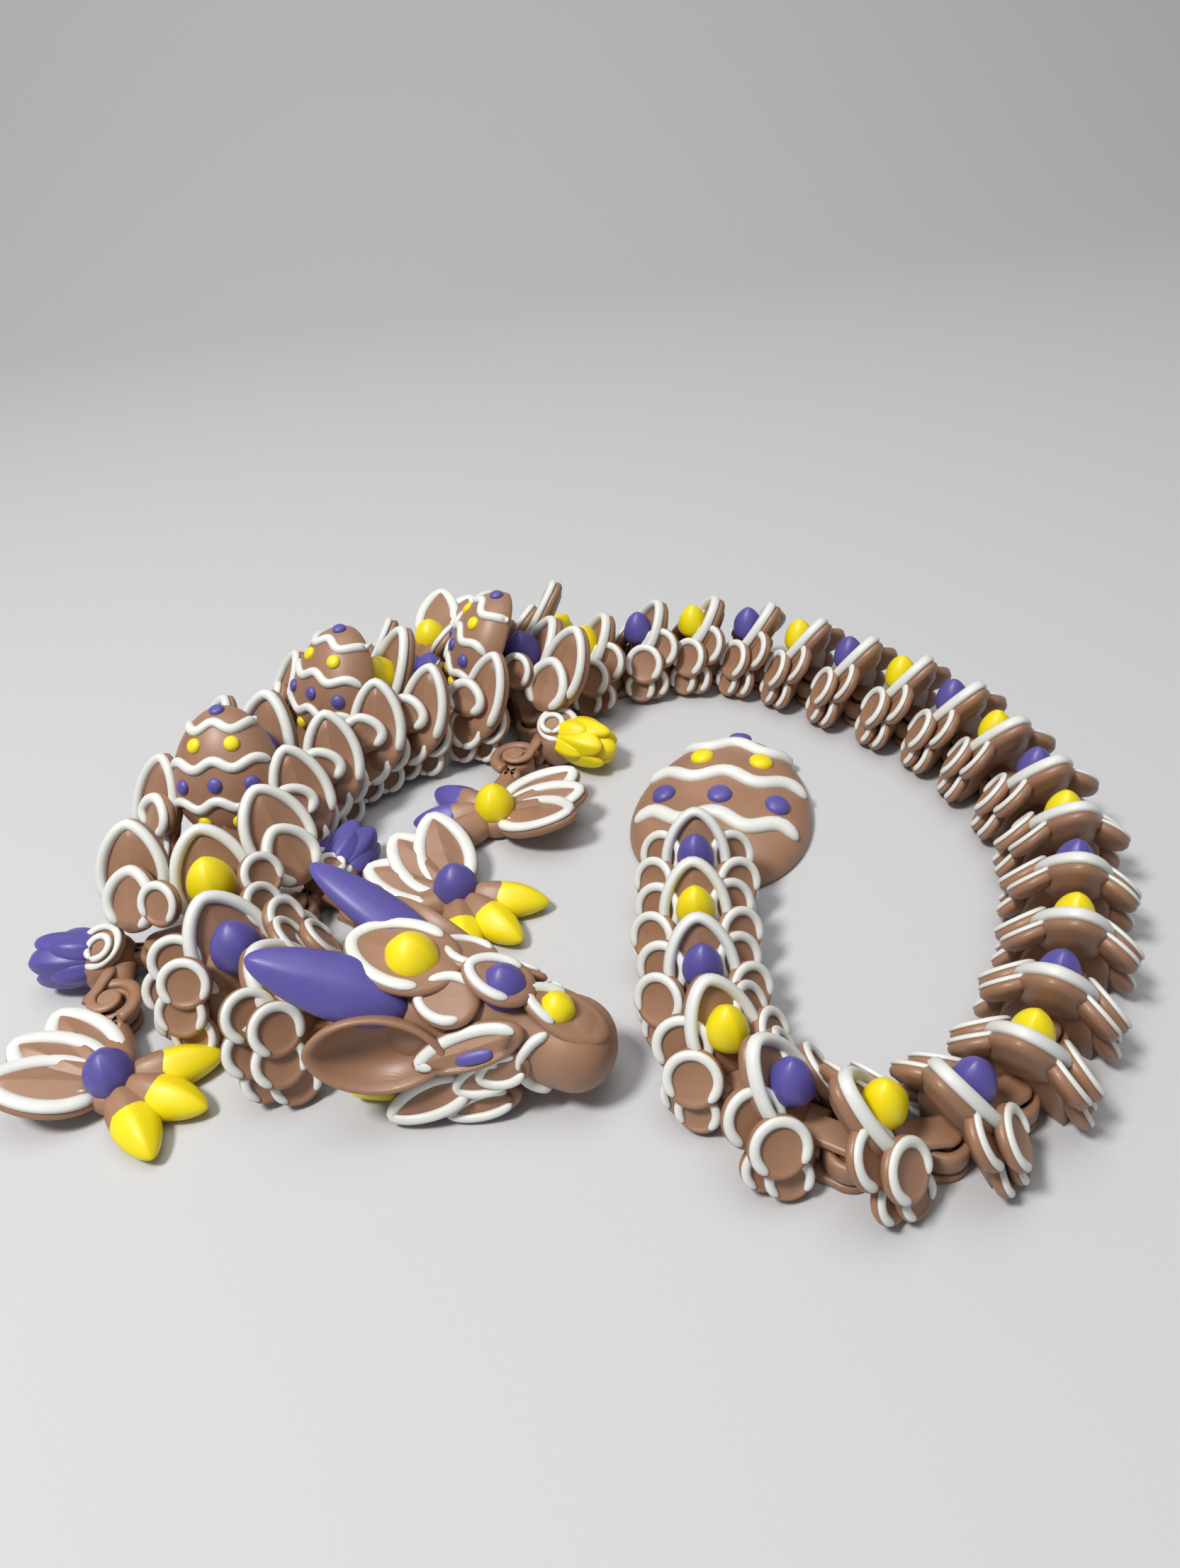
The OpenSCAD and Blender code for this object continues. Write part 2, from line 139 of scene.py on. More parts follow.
class Shape:
    """Vertices and faces gathered for one mesh."""

    def __init__(self):
        self.verts = []
        self.faces = []
        self.count = 0

    def add(self, part, place=None):
        verts, faces = part
        verts = np.asarray(verts, float)
        flip = False
        if place is not None:
            verts = verts @ place[:3, :3].T + place[:3, 3]
            flip = np.linalg.det(place[:3, :3]) < 0
        for face in faces:
            ids = [i + self.count for i in face]
            self.faces.append(ids[::-1] if flip else ids)
        self.verts.append(verts)
        self.count += len(verts)
        return self

    def pair(self, part, place=None):
        """Adds a part on the right and its mirror image on the left."""
        place = np.eye(4) if place is None else place
        self.add(part, place)
        return self.add(part, MIRROR @ place)

    def mesh(self, name, mirrored=False):
        verts = np.concatenate(self.verts) * MM
        faces = self.faces
        if mirrored:
            verts = verts * (1, -1, 1)
            faces = [f[::-1] for f in faces]
        mesh = bpy.data.meshes.new(name)
        mesh.from_pydata(verts.tolist(), [], faces)
        mesh.validate()
        mesh.polygons.foreach_set("use_smooth", [True] * len(mesh.polygons))
        mesh.update()
        return mesh


def joined(shape):
    """The shape gathered so far as one part."""
    return np.concatenate(shape.verts), shape.faces


def skin(rings):
    """Quads between rings of equal length, with the end rings closed to their middle."""
    n = len(rings[0])
    verts = [p for ring in rings for p in ring]
    faces = []
    for k in range(len(rings) - 1):
        a, b = k * n, (k + 1) * n
        for i in range(n):
            j = (i + 1) % n
            faces.append((a + i, a + j, b + j, b + i))
    verts.append(np.mean(rings[0], axis=0))
    faces += [(len(verts) - 1, (i + 1) % n, i) for i in range(n)]
    last = (len(rings) - 1) * n
    verts.append(np.mean(rings[-1], axis=0))
    faces += [(len(verts) - 1, last + i, last + (i + 1) % n) for i in range(n)]
    return np.array(verts), faces


def lathe(profile, n=32):
    """Turns (radius, z) points about Z, from the bottom to the top."""
    a = np.linspace(0, 2 * math.pi, n, endpoint=False)
    rings = [np.c_[r * np.cos(a), r * np.sin(a), np.full(n, z)] for r, z in profile]
    return skin(rings)


def round_disc(r, z0, z1, edge):
    """Disc with rounded edges."""
    t = np.linspace(0, math.pi / 2, 4)
    low = [(r - edge + edge * math.sin(a), z0 + edge - edge * math.cos(a)) for a in t]
    high = [(r - edge + edge * math.cos(a), z1 - edge + edge * math.sin(a)) for a in t]
    return lathe(low + high)


def round_tube(r_in, r_out, z0, z1, edge):
    """Ring with rounded edges, closed all round."""
    n = 36
    a = np.linspace(0, 2 * math.pi, n, endpoint=False)
    inner, outer, low, high = r_in + edge, r_out - edge, z0 + edge, z1 - edge
    section = []
    for x, z, start in ((inner, low, 180), (outer, low, 270), (outer, high, 0), (inner, high, 90)):
        for t in np.linspace(0, 90, 4):
            b = math.radians(start + t)
            section.append((x + edge * math.cos(b), z + edge * math.sin(b)))
    m = len(section)
    verts = [(r * math.cos(t), r * math.sin(t), z) for t in a for r, z in section]
    faces = []
    for i in range(n):
        for k in range(m):
            a0, a1 = i * m, ((i + 1) % n) * m
            faces.append((a0 + k, a1 + k, a1 + (k + 1) % m, a0 + (k + 1) % m))
    return np.array(verts), faces


def loft(points, z0, z1, edge):
    """Flat prism over an outline, with its top and bottom edges rounded."""
    outline = np.array(points, float)
    n = len(outline)
    along = np.roll(outline, -1, 0) - np.roll(outline, 1, 0)
    inward = np.c_[-along[:, 1], along[:, 0]]
    inward /= np.linalg.norm(inward, axis=1)[:, None]
    rings = []
    steps = [math.radians(a) for a in (0, 30, 60, 90)]
    for a in steps:
        ring = outline + inward * edge * (1 - math.sin(a))
        rings.append(np.c_[ring, np.full(n, z0 + edge * (1 - math.cos(a)))])
    for a in steps[::-1]:
        ring = outline + inward * edge * (1 - math.sin(a))
        rings.append(np.c_[ring, np.full(n, z1 - edge * (1 - math.cos(a)))])
    return skin(rings)


def smooth_line(points, n):
    """Catmull-Rom curve through points, as n points evenly along it."""
    p = np.array(points, float)
    ext = np.vstack([2 * p[0] - p[1], p, 2 * p[-1] - p[-2]])
    fine = []
    for k in range(len(p) - 1):
        a, b, c, d = ext[k:k + 4]
        for t in np.linspace(0, 1, 16, endpoint=False):
            square = (2 * a - 5 * b + 4 * c - d) * t ** 2
            cube = (3 * b - a - 3 * c + d) * t ** 3
            fine.append(0.5 * (2 * b + (c - a) * t + square + cube))
    fine.append(p[-1])
    return resample(np.array(fine), n)


def resample(line, n):
    """The line as n points evenly along it."""
    step = np.linalg.norm(np.diff(line, axis=0), axis=1)
    s = np.r_[0, np.cumsum(step)]
    at = np.linspace(0, s[-1], n)
    return np.c_[tuple(np.interp(at, s, line[:, k]) for k in range(line.shape[1]))]


def bead(line, ups, width, height, sink=0.35):
    """Bead of icing along a line: flat below, round above and tapered at both ends."""
    line = np.array(line, float)
    ups = np.broadcast_to(np.array(ups, float), line.shape)
    step = np.linalg.norm(np.diff(line, axis=0), axis=1)
    s = np.r_[0, np.cumsum(step)]
    total = s[-1]
    half = width / 2
    taper = min(1.1 * width, 0.3 * total)
    ends = np.array([0, 0.03, 0.12, 0.3, 0.6]) * taper
    inner = np.linspace(taper, total - taper, max(4, int(total / (0.45 * width))))
    at = np.r_[ends, inner, (total - ends)[::-1]]
    pos = np.c_[tuple(np.interp(at, s, line[:, k]) for k in range(3))]
    up = np.c_[tuple(np.interp(at, s, ups[:, k]) for k in range(3))]
    up /= np.linalg.norm(up, axis=1)[:, None]
    along = np.gradient(pos, axis=0)
    along /= np.linalg.norm(along, axis=1)[:, None] + 1e-12
    side = np.cross(up, along)
    side /= np.linalg.norm(side, axis=1)[:, None] + 1e-12
    from_end = np.minimum(at, total - at)
    full = np.sqrt(np.clip(1 - (1 - np.minimum(from_end / taper, 1)) ** 2, 0.0, 1)) * 0.96 + 0.04
    a = np.linspace(0, 2 * math.pi, 10, endpoint=False)
    lift = np.where(np.sin(a) > 0, np.sin(a), sink * np.sin(a))
    rings = []
    for p, u, v, f in zip(pos, up, side, full):
        rings.append([p + v * (f * half * math.cos(t)) + u * (f * height * h) for t, h in zip(a, lift)])
    return skin(rings)


# ---------------------------------------------------------------- scales


class Leaf:
    """Outline of a scale: its tip at the origin, its base along -X."""

    def __init__(self, length, width, point, skew):
        self.length = length
        self.width = width
        self.point = point
        self.skew = skew

    def at(self, a):
        """Outline point at an angle from the tip, in radians, from the middle of the leaf."""
        s = np.sin(a)
        x = self.length / 2 * np.cos(a)
        y = self.width / 2 * np.sign(s) * np.abs(s) ** self.point * (1 - self.skew * np.cos(a))
        return np.stack([x, y], -1)

    def plate(self, thick, ridge, dish, bulge):
        """Solid plate with a rounded rim, a dished face with a ridge, and a bulged back."""
        n = 44
        a = np.linspace(-math.pi, math.pi, n, endpoint=False)
        rim = self.at(a)
        inset = min(0.45 * thick / (self.width / 2), 0.4)
        edge = (
            (1 - inset, -0.5), (1 - 0.4 * inset, -0.4), (1, -0.12),
            (1, 0.15), (1 - 0.35 * inset, 0.42), (1 - inset, 0.5),
        )
        rings = []
        for s in (0.35, 0.7):
            rings.append(np.c_[rim * s, np.full(n, -thick / 2 - bulge * (1 - s * s))])
        for s, z in edge:
            rings.append(np.c_[rim * s, np.full(n, z * thick)])
        for s in (0.78, 0.6, 0.42, 0.24, 0.08):
            y = np.abs(rim[:, 1] * s) / (self.width / 2)
            fade = 1 - s ** 4
            z = thick / 2 - dish * (1 - s * s) * fade + ridge * np.clip(1 - 1.6 * y, 0, 1) * fade
            rings.append(np.c_[rim * s, z])
        verts, faces = skin(rings)
        verts = verts - (self.length / 2, 0, 0)
        return verts, faces

    def icing(self, thick, width, height, inset, reach):
        """Bead of icing just inside the rim, between two angles from the tip."""
        a = np.radians(np.linspace(reach[0], reach[1], 61))
        rim = self.at(a)
        along = np.gradient(rim, axis=0)
        along /= np.linalg.norm(along, axis=1)[:, None]
        inward = np.c_[-along[:, 1], along[:, 0]]
        line = rim + inward * (inset + width / 2)
        line = np.c_[line[:, 0] - self.length / 2, line[:, 1], np.full(len(line), thick / 2)]
        keep = np.r_[True, np.linalg.norm(np.diff(line, axis=0), axis=1) > 0.02]
        return bead(line[keep], (0, 0, 1), width, height)


class Scales:
    """Brown plates with their icing, gathered for one piece."""

    def __init__(self):
        self.brown = Shape()
        self.white = Shape()

    def leaf(self, leaf, place, thick, icing, pair, ridge, dish, reach, inset, bulge, height):
        """Scale with its tip at a place, alone or with its mirror image.

        ridge, dish and bulge are heights on the plate. The icing has a width and a height, starts
        inset from the rim and goes between the two angles of reach.
        """
        plate = leaf.plate(thick, ridge, dish, bulge)
        line = leaf.icing(thick, icing, height, inset, reach)
        for shape, part in ((self.brown, plate), (self.white, line)):
            if pair:
                shape.pair(part, place)
            else:
                shape.add(part, place)

    def disc(self, centre, r, lean, yaw, thick=2.1, icing=1.9, reach=(-138, 138), pair=True):
        """Round scale placed by its centre."""
        place = leant(centre, lean, yaw) @ move(r, 0, 0)
        self.leaf(Leaf(2 * r, 2 * r, 1.0, 0.0), place, thick, icing, pair, ridge=0.0, dish=0.4,
                  reach=reach, inset=0.0, bulge=0.9, height=0.8)


# ---------------------------------------------------------------- materials

LAYER = 0.0002


def node_tree(name, rough, coat):
    material = bpy.data.materials.new(name)
    material.use_nodes = True
    tree = material.node_tree
    shader = tree.nodes["Principled BSDF"]
    shader.inputs["Roughness"].default_value = rough
    shader.inputs["Coat Weight"].default_value = coat
    shader.inputs["Coat Roughness"].default_value = 0.35
    return material, tree, shader


def print_lines(tree, shader, coords, strength):
    """Bump of the printed layers, stacked along Z, with a faint grain."""
    split = tree.nodes.new("ShaderNodeSeparateXYZ")
    tree.links.new(coords, split.inputs[0])
    wave = tree.nodes.new("ShaderNodeMath")
    wave.operation = "MULTIPLY"
    wave.inputs[1].default_value = 2 * math.pi / LAYER
    tree.links.new(split.outputs["Z"], wave.inputs[0])
    sine = tree.nodes.new("ShaderNodeMath")
    sine.operation = "SINE"
    tree.links.new(wave.outputs[0], sine.inputs[0])
    grain = tree.nodes.new("ShaderNodeTexNoise")
    grain.inputs["Scale"].default_value = 900.0
    grain.inputs["Detail"].default_value = 3.0
    tree.links.new(coords, grain.inputs["Vector"])
    mix = tree.nodes.new("ShaderNodeMath")
    mix.operation = "MULTIPLY_ADD"
    mix.inputs[1].default_value = 0.9
    tree.links.new(grain.outputs["Fac"], mix.inputs[0])
    tree.links.new(sine.outputs[0], mix.inputs[2])
    bump = tree.nodes.new("ShaderNodeBump")
    bump.inputs["Strength"].default_value = strength
    bump.inputs["Distance"].default_value = 0.00012
    tree.links.new(mix.outputs[0], bump.inputs["Height"])
    tree.links.new(bump.outputs["Normal"], shader.inputs["Normal"])


def printed(name, dark, light, rough, coat, strength):
    """Silky printed plastic: two close tones in soft patches, uneven gloss and layer lines."""
    material, tree, shader = node_tree(name, rough, coat)
    coords = tree.nodes.new("ShaderNodeTexCoord").outputs["Object"]
    noise = tree.nodes.new("ShaderNodeTexNoise")
    noise.inputs["Scale"].default_value = 60.0
    noise.inputs["Detail"].default_value = 4.0
    tree.links.new(coords, noise.inputs["Vector"])
    ramp = tree.nodes.new("ShaderNodeValToRGB")
    ramp.color_ramp.elements[0].position = 0.3
    ramp.color_ramp.elements[0].color = (*dark, 1)
    ramp.color_ramp.elements[1].position = 0.7
    ramp.color_ramp.elements[1].color = (*light, 1)
    tree.links.new(noise.outputs["Fac"], ramp.inputs[0])
    tree.links.new(ramp.outputs[0], shader.inputs["Base Color"])
    gloss = tree.nodes.new("ShaderNodeMapRange")
    gloss.inputs["To Min"].default_value = rough - 0.07
    gloss.inputs["To Max"].default_value = rough + 0.09
    tree.links.new(noise.outputs["Fac"], gloss.inputs["Value"])
    tree.links.new(gloss.outputs[0], shader.inputs["Roughness"])
    print_lines(tree, shader, coords, strength)
    return material


# Name, dark and light tone, roughness, coat, strength of the layer lines
BROWN = printed("brown_silk", (0.265, 0.136, 0.076), (0.350, 0.190, 0.114), 0.42, 0.10, 0.07)
WHITE = printed("white_icing", (0.66, 0.665, 0.63), (0.76, 0.765, 0.73), 0.45, 0.05, 0.05)
PURPLE = printed("purple_silk", (0.082, 0.066, 0.285), (0.108, 0.090, 0.355), 0.42, 0.10, 0.08)
YELLOW = printed("yellow_silk", (0.78, 0.62, 0.002), (0.86, 0.71, 0.006), 0.42, 0.08, 0.08)


def piece(name, mesh, material, place, body, *nodes):
    """One object in place on its body, standing for the CAD nodes named."""
    obj = bpy.data.objects.new(name, mesh)
    SCENE.collection.objects.link(obj)
    if not mesh.materials:
        mesh.materials.append(material)
    obj.matrix_world = place
    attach(obj, body)
    if nodes:
        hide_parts(*nodes)
    return obj


# ---------------------------------------------------------------- hinges

# Radii and heights in millimetres: an upright pin between two jaws, with a ring loose round it
PIN_R = 2.4
GAP = 0.45
RING_IN = PIN_R + GAP
RING_OUT = RING_IN + 2.2
JAW_T = 2.0
RING_Z = JAW_T + GAP
RING_TOP = RING_Z + 5.0
JAW_Z = RING_TOP + GAP
JAW_TOP = JAW_Z + JAW_T
TOP_JAW_R = PIN_R + 0.8
SWING_R = RING_OUT + GAP


def bar(x0, x1, width, z0, z1, edge):
    """Bar along X with rounded edges."""
    half = width / 2
    y = np.linspace(-half, half, 5)
    points = [(x1, v) for v in y] + [(x0, v) for v in y[::-1]]
    return loft(points, z0, z1, edge)


def keyhole(r, reach, half):
    """Outline of a disc with an arm of half width that runs off along +X."""
    a0 = math.asin(min(half / r, 1))
    arc = [(r * math.cos(a), r * math.sin(a)) for a in np.linspace(a0, 2 * math.pi - a0, 28)]
    x0 = r * math.cos(a0)
    low = [(x, -half) for x in np.linspace(x0, reach, 7)[1:]]
    end = [(reach, y) for y in np.linspace(-half, half, 5)[1:-1]]
    return arc + low + end + [(x, -y) for x, y in low[::-1]]


def clevis(reach, web):
    """Upright pin between two jaws, on a web that runs off along +X."""
    shape = Shape()
    half = min(web / 2, RING_OUT - 0.1)
    shape.add(loft(keyhole(RING_OUT, reach, half), 0.05, JAW_T, 0.7))
    shape.add(round_disc(PIN_R, 0.5, JAW_TOP - 0.4, 0.3))
    shape.add(loft(keyhole(TOP_JAW_R, reach, TOP_JAW_R - 0.05), JAW_Z, JAW_TOP, 0.9))
    shape.add(bar(SWING_R + 0.1, reach, web, 0.15, JAW_TOP - 0.2, 1.2))
    return joined(shape)


def ring(reach):
    """Ring round a pin at the origin, on an arm that runs off along +X."""
    shape = Shape()
    shape.add(round_tube(RING_IN, RING_OUT, RING_Z, RING_TOP, 1.05))
    shape.add(bar(RING_IN + 1.0, reach, 5.6, RING_Z + 0.05, RING_TOP - 0.05, 1.9))
    return joined(shape)


def swept(line, radii, up, flat):
    """Bar along a line with a radius for each of its points, flattened along up."""
    line = np.array(line, float)
    along = np.gradient(line, axis=0)
    along /= np.linalg.norm(along, axis=1)[:, None]
    side = np.cross(np.array(up, float), along)
    side /= np.linalg.norm(side, axis=1)[:, None]
    top = np.cross(along, side)
    a = np.linspace(0, 2 * math.pi, 20, endpoint=False)
    rings = []
    for p, r, v, u in zip(line, radii, side, top):
        rings.append(p + r * (np.outer(np.cos(a), v) + flat * np.outer(np.sin(a), u)))
    return skin(rings)


def pebble(points, z0, z1, edge):
    """Smooth closed outline through points, as a block with well rounded edges."""
    n = 48
    closed = list(points) + [points[0]]
    line = smooth_line([points[-1]] + closed + [points[1]], 4 * n)
    start = np.argmin(np.linalg.norm(line - np.array(points[0]), axis=1)[: 2 * n])
    end = 2 * n + np.argmin(np.linalg.norm(line[2 * n:] - np.array(points[0]), axis=1))
    return loft(resample(line[start:end + 1], n + 1)[:-1], z0, z1, edge)


def saddle(x0, x1, half, height):
    """Swept-back block under the scales: its cross-section is an arch, leaning to the tail."""
    sweep, lean = 0.3, 0.275
    y = np.linspace(-1, 1, 25)
    arch = (1 - np.abs(y) ** 2.4) ** 0.42
    rings = []
    for x, inset in (
        (x0, 1.2), (x0 + 0.5, 0.3), (x0 + 1.4, 0), (x1 - 1.4, 0), (x1 - 0.5, 0.3), (x1, 1.2),
    ):
        w, h = half - inset, height - inset
        upper = []
        for v, t in zip(y, arch):
            upper.append((x + sweep * abs(v) * w + lean * h * t, v * w, 0.2 + inset + (h - inset) * t))
        lower = [(x + sweep * abs(v) * w, v * w, 0.15 + inset) for v in y[::-1][1:-1]]
        rings.append(upper + lower)
    return skin([np.array(r)[::-1] for r in rings])


def link_base(shape, length, web, half, height):
    """Hinge parts and the block between them, common to all links."""
    x1 = length - SWING_R - 0.4
    shape.add(clevis(x1, web))
    shape.add(ring(length - SWING_R + 0.5), move(length, 0, 0) @ turn("Z", 180))
    shape.add(saddle(SWING_R + 0.3, x1 + 0.2, half, height))


# ---------------------------------------------------------------- gems and eggs


def gem(r, tall):
    """Upright egg with a narrow top and a faint crease down its front and back."""
    n = 44
    a = np.linspace(0, 2 * math.pi, n, endpoint=False)
    edge = 1 + 0.07 * np.clip(np.abs(np.cos(a)), 0, 1) ** 36
    rings = []
    for t in np.linspace(0.05, math.pi - 0.04, 22):
        z = -math.cos(t)
        if z < 0:
            radius, height = r * math.sin(t) ** 0.9, 0.9 * r * z
        else:
            radius, height = r * math.sin(t) ** 1.4, tall * r * z
        rings.append(np.c_[radius * edge * np.cos(a), radius * edge * np.sin(a), np.full(n, height)])
    return skin(rings)


class Egg:
    """Egg lying on its back, its narrow end along +X, with a domed face."""

    def __init__(self, width, length, height):
        self.width = width
        self.length = length
        self.height = height

    def rim(self, a):
        """Outline at an angle from the narrow end."""
        x = self.length / 2 * np.cos(a)
        y = self.width / 2 * np.sin(a) * (1 - 0.15 * np.cos(a))
        return np.stack([x, y], -1)

    def rise(self, x, y):
        """Height of the dome over a place on its base."""
        a = math.atan2(y / (self.width / 2), x / (self.length / 2))
        for _ in range(3):
            a = math.atan2(y / (self.width / 2 * (1 - 0.15 * math.cos(a))), x / (self.length / 2))
        edge = np.linalg.norm(self.rim(a))
        s = min(math.hypot(x, y) / edge, 0.999)
        return self.height * (1 - s ** 2.5) ** 0.55

    def normal(self, x, y):
        """Unit vector straight out of the dome over a place on its base."""
        e = 0.15
        dx = (self.rise(x + e, y) - self.rise(x - e, y)) / (2 * e)
        dy = (self.rise(x, y + e) - self.rise(x, y - e)) / (2 * e)
        n = np.array([-dx, -dy, 1.0])
        return n / np.linalg.norm(n)

    def dome(self):
        """The egg as a solid, with a shallow back below its rim."""
        n, back = 56, 1.2
        a = np.linspace(0, 2 * math.pi, n, endpoint=False)
        rim = self.rim(a)
        rings = [np.c_[rim * s, np.full(n, -back)] for s in (0.4, 0.8, 0.96)]
        rings.append(np.c_[rim, np.full(n, -back * 0.6)])
        for s in (1.0, 0.994, 0.975, 0.94, 0.89, 0.82, 0.72, 0.6, 0.46, 0.3, 0.12):
            rings.append(np.c_[rim * s, np.full(n, self.height * (1 - s ** 2.5) ** 0.55)])
        return skin(rings)

    def dot(self, x, y, r):
        """Small raised dot on the dome."""
        normal = Vector(self.normal(x, y))
        place = np.array(normal.to_track_quat("Z", "Y").to_matrix().to_4x4())
        place[:3, 3] = (x, y, self.rise(x, y))
        t = np.linspace(0, math.pi / 2, 6)
        profile = [(r, -0.5)] + [(r * math.cos(b) ** 0.8, r * 0.55 * math.sin(b)) for b in t[:-1]]
        return lathe(profile, 20), place

    def band(self, x, half, swing, waves, width):
        """Wavy band of icing across the dome."""
        y = np.linspace(-half, half, 60)
        wave = swing * np.cos(2 * math.pi * waves * (y / (2 * half)))
        xs = x + wave + 0.006 * (y * y) * 12 / self.width
        line = [(u, v, self.rise(u, v)) for u, v in zip(xs, y)]
        ups = [self.normal(u, v) for u, v in zip(xs, y)]
        return bead(line, ups, width, 0.42 * width, 0.6)


def decorated_egg(egg):
    """Brown dome, white bands, purple dots and yellow dots, as four shapes.

    The places are those on an egg 24.5 mm wide, and grow with the egg.
    """
    k = egg.width / 24.5
    brown, white, purple, yellow = Shape(), Shape(), Shape(), Shape()
    brown.add(egg.dome())
    for x, half, waves in ((10.4, 8.1, 2.0), (2.0, 11.0, 2.5), (-6.8, 11.0, 2.5)):
        white.add(egg.band(x * k, half * k, 0.9 * k, waves, 2.3 * k))
    for x, y, shape in (
        (13.9, 0, purple), (6.5, 4.2, yellow), (6.5, -4.2, yellow),
        (-2.4, 0, purple), (-2.4, 7.8, purple), (-2.4, -7.8, purple),
        (-10.8, 4.0, yellow), (-10.8, -4.0, yellow),
    ):
        shape.add(*egg.dot(x * k, y * k, 1.7 * k))
    return brown, white, purple, yellow


# ---------------------------------------------------------------- chain links
# Round scales are given by their centre, radius, lean, yaw, thickness and width of icing. Plates
# lean by LEAN degrees, and a gem stands GEM_BACK in front of its link's rear pin.

LEAN = 58
GEM_BACK = 9


def tail_shapes():
    """Brown and white shapes of a tail link."""
    scales = Scales()
    link_base(scales.brown, pitch(TAIL[0]), web=10, half=9.5, height=18)
    scales.leaf(Leaf(22, 15, 1.1, 0.16), leant((21, 0, 26), LEAN), 3.2, 2.5, pair=False, ridge=0.5, dish=0.3,
                reach=(-122, 122), inset=-0.45, bulge=2.0, height=2.0)
    scales.disc((16.0, 7.4, 15.6), 6.1, 58, -40, 2.4, 2.1)
    scales.disc((10.2, 9.0, 12.6), 6.0, 58, -44, 2.4, 2.1)
    scales.disc((12.4, 9.6, 6.0), 5.1, 64, -46)
    scales.disc((8.2, 9.4, 5.4), 4.7, 64, -50)
    return scales


def back_plate(scales, x, tip_z, length):
    """Centre plate behind the gem at x."""
    scales.leaf(Leaf(length, 19.5, 1.15, 0.14), leant((x + 12, 0, tip_z), LEAN), 3.4, 3.0, pair=False,
                ridge=0.8, dish=0.4, reach=(-128, 128), inset=-0.3, bulge=2.2, height=1.8)


def tall_petal(scales, tip, length, width, yaw):
    """Pair of tall pointed scales beside the centre plate."""
    scales.leaf(Leaf(length, width, 1.2, 0.1), leant(tip, LEAN, yaw), 3.0, 2.7, pair=True,
                ridge=1.3, dish=0.5, reach=(-125, 125), inset=-0.2, bulge=1.6, height=1.5)


def cap_petal(scales, tip, length, width, yaw, lean):
    """Pair of short broad scales in front of the tall ones."""
    scales.leaf(Leaf(length, width, 1.15, 0.12), leant(tip, lean, yaw), 2.8, 2.8, pair=True,
                ridge=1.0, dish=0.4, reach=(-150, 150), inset=-0.2, bulge=1.2, height=1.4)


def flank(scales, x):
    """Scales along both flanks of a body link whose gem is at x."""
    tall_petal(scales, (x + 12.5, 15, 31.5), 26, 15.5, -30)
    cap_petal(scales, (x + 3.4, 15.0, 25.2), 11, 13.5, -44, LEAN)
    ring_reach = (-180, 180)
    scales.disc((x + 6.2, 19.8, 13.0), 6.6, 58, -42, 2.5, 2.1, ring_reach)
    scales.disc((x - 0.4, 18.8, 12.0), 6.3, 60, -44, 2.4, 2.0, ring_reach)
    scales.disc((x + 3.6, 19.8, 5.9), 5.3, 66, -46, 2.2, 1.8, ring_reach)
    scales.disc((x - 2.6, 17.8, 5.8), 5.2, 64, -48, 2.2, 1.8, ring_reach)


# Neck links: height of the gem, then height of the centre plate's tip and its length
NECKS = {"neck_link_1": (18.0, 26.5, 23), "neck_link_2": (20.0, 29.0, 26)}


def neck_shapes(length, tip_z, plate_length):
    """Brown and white shapes of a neck link: centre plate, then rows of round scales."""
    scales = Scales()
    x = length - GEM_BACK
    link_base(scales.brown, length, web=14, half=12, height=20)
    back_plate(scales, x, tip_z, plate_length)
    scales.disc((x + 8.0, 10.6, 19.6), 5.9, 58, -34, 2.6, 2.1)
    scales.disc((x + 1.6, 12.2, 18.2), 5.8, 58, -40, 2.6, 2.1)
    scales.disc((x + 7.6, 14.4, 13.4), 5.9, 60, -44, 2.5, 2.1)
    scales.disc((x + 1.2, 15.2, 12.0), 5.8, 60, -46, 2.4, 2.0)
    scales.disc((x + 5.4, 15.6, 6.6), 5.4, 64, -48, 2.3, 2.0)
    scales.disc((x - 0.6, 15.0, 5.8), 5.3, 64, -52, 2.2, 1.9)
    return scales


def body_shapes(length):
    """Brown and white shapes of a body link without what stands on its back."""
    scales = Scales()
    link_base(scales.brown, length, web=14, half=14, height=20)
    flank(scales, length - GEM_BACK)
    return scales


def limb_link_shapes(length, x_limb, x):
    """Link with jaws at x_limb on both sides for the limbs, and a crown of scales round x above them."""
    scales = Scales()
    link_base(scales.brown, length, web=14, half=9, height=20)
    scales.brown.pair(clevis(16, 7), move(x_limb, 16, 0) @ turn("Z", -90))
    collar = [(x + 5 + 0.2 * abs(y), y, 19.0) for y in np.linspace(-19, 19, 21)]
    widths = [2.2 * math.sqrt(max(1 - (y / 20.5) ** 2, 0.05)) for _, y, _ in collar]
    scales.brown.add(swept(collar, widths, (0.5, 0, 1), 0.9))
    back_plate(scales, x - 1, 29.5, 26)
    tall_petal(scales, (x + 14.5, 14.0, 33.5), 25, 17.5, -22)
    cap_petal(scales, (x + 6.5, 15.2, 26.0), 16, 14.5, -36, 54)
    scales.disc((x - 5.0, 11.2, 22.0), 5.5, 58, -40, 2.5, 2.1)
    return scales


GEM_MESH = {}


def add_gem(name, place_mm, r, tall):
    """Gem on a link; links of one kind share a mesh for each colour."""
    material = YELLOW if name in YELLOW_LINKS else PURPLE
    key = (r, material.name)
    if key not in GEM_MESH:
        GEM_MESH[key] = Shape().add(gem(r, tall)).mesh("gem_%s_%d" % (material.name, round(r * 10)))
    at = LINK[name] @ Matrix.Translation(Vector(place_mm) * MM)
    piece(name + "_gem", GEM_MESH[key], material, at, name)


